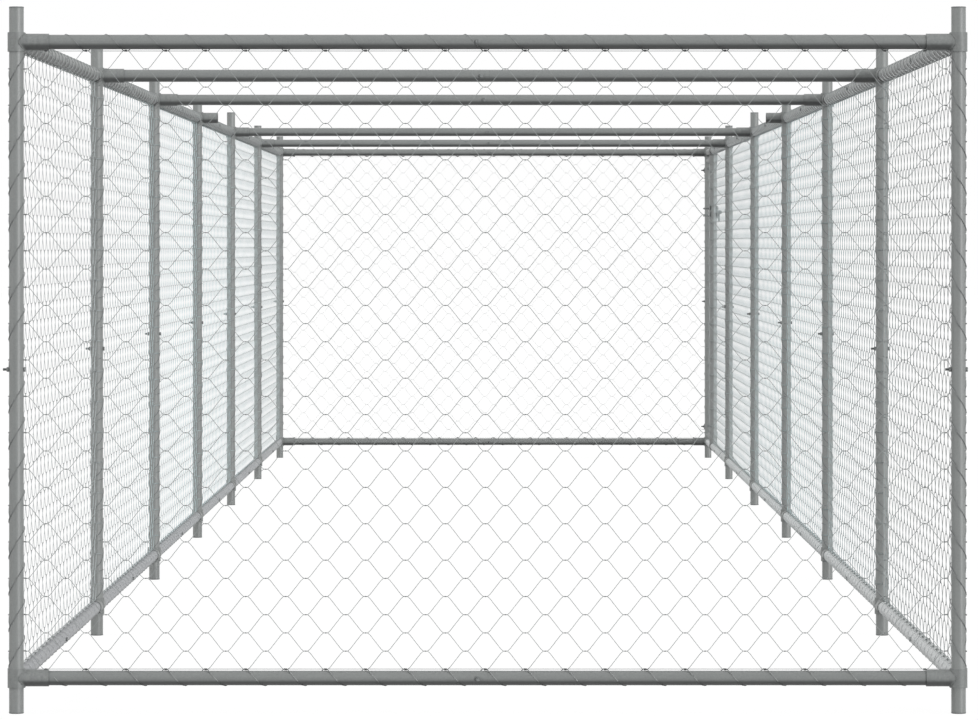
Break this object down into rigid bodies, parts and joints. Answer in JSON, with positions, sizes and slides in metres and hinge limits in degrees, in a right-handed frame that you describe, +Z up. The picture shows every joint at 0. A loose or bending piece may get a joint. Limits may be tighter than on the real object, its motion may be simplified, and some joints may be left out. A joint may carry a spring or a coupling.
{
  "type": "dog kennel run",
  "caption": "Long outdoor dog run of slip-jointed galvanised tube with chain-link walls, an open top and a narrow hinged gate with a slide-bolt latch.",
  "frame": {"origin": "on the ground at the middle of the footprint", "axes": "+X across the run from the plain long wall to the wall with the gate, +Y along the run towards the gate end, +Z up"},
  "size_m": [2.0664, 12.0482, 1.5],
  "materials": {
    "tube_zinc": "matte galvanised",
    "fitting_zinc": "matte galvanised",
    "mesh_wire": "galvanised wire",
    "cap_plastic": "matte grey",
    "fastener_zinc": "zinc plated"
  },
  "bodies": {
    "frame": {"post_left_1": "tube_zinc", "post_left_2": "tube_zinc", "post_left_3": "tube_zinc", "post_left_4": "tube_zinc", "post_left_5": "tube_zinc", "post_left_6": "tube_zinc", "post_left_7": "tube_zinc", "post_right_1": "tube_zinc", "post_right_2": "tube_zinc", "post_right_3": "tube_zinc", "post_right_4": "tube_zinc", "post_right_5": "tube_zinc", "post_right_6": "tube_zinc", "post_right_7": "tube_zinc", "left_top_rails": "tube_zinc", "left_bottom_rails": "tube_zinc", "right_top_rails": "tube_zinc", "right_bottom_rails": "tube_zinc", "front_rails": "tube_zinc", "back_rails": "tube_zinc", "cross_rail_2": "tube_zinc", "cross_rail_3": "tube_zinc", "cross_rail_5": "tube_zinc", "cross_rail_6": "tube_zinc", "post_caps": "cap_plastic", "corner_fittings": "fitting_zinc", "cross_rail_fittings": "fitting_zinc", "spare_fittings": "fitting_zinc", "side_fittings": "fitting_zinc", "gate_post_fittings": "fitting_zinc", "frame_bolts": "fastener_zinc", "frame_nuts": "fastener_zinc", "front_mesh": "mesh_wire", "back_mesh": "mesh_wire", "left_mesh_1": "mesh_wire", "left_mesh_2": "mesh_wire", "left_mesh_3": "mesh_wire", "left_mesh_4": "mesh_wire", "left_mesh_5": "mesh_wire", "left_mesh_6": "mesh_wire", "right_mesh_1": "mesh_wire", "right_mesh_2": "mesh_wire", "right_mesh_3": "mesh_wire", "right_mesh_4": "mesh_wire", "right_mesh_5": "mesh_wire", "right_mesh_6": "mesh_wire", "gate_post": "tube_zinc", "hinge_clamps": "fitting_zinc", "hinge_clamp_bolts": "fastener_zinc", "hinge_pins": "fastener_zinc", "latch_keeper": "fitting_zinc", "gate_stop": "fitting_zinc", "keeper_bolts": "fastener_zinc"},
    "gate": {"gate_frame": "tube_zinc", "gate_mesh": "mesh_wire", "hinge_eye_bolts": "fastener_zinc", "hinge_eye_nuts": "fastener_zinc", "latch_body": "fitting_zinc"},
    "latch": {"latch_bolt": "fastener_zinc"}
  },
  "joints": [
    {"name": "gate_hinge", "type": "hinge", "parent": "frame", "child": "gate", "pos_m": [1, 5.964, 0.75], "axis": [0, 0, 1], "range_deg": [0, 110]},
    {"name": "latch_slide", "type": "slide", "parent": "gate", "child": "latch", "axis": [0, -1, 0], "range_m": [0, 0.036]}
  ]
}
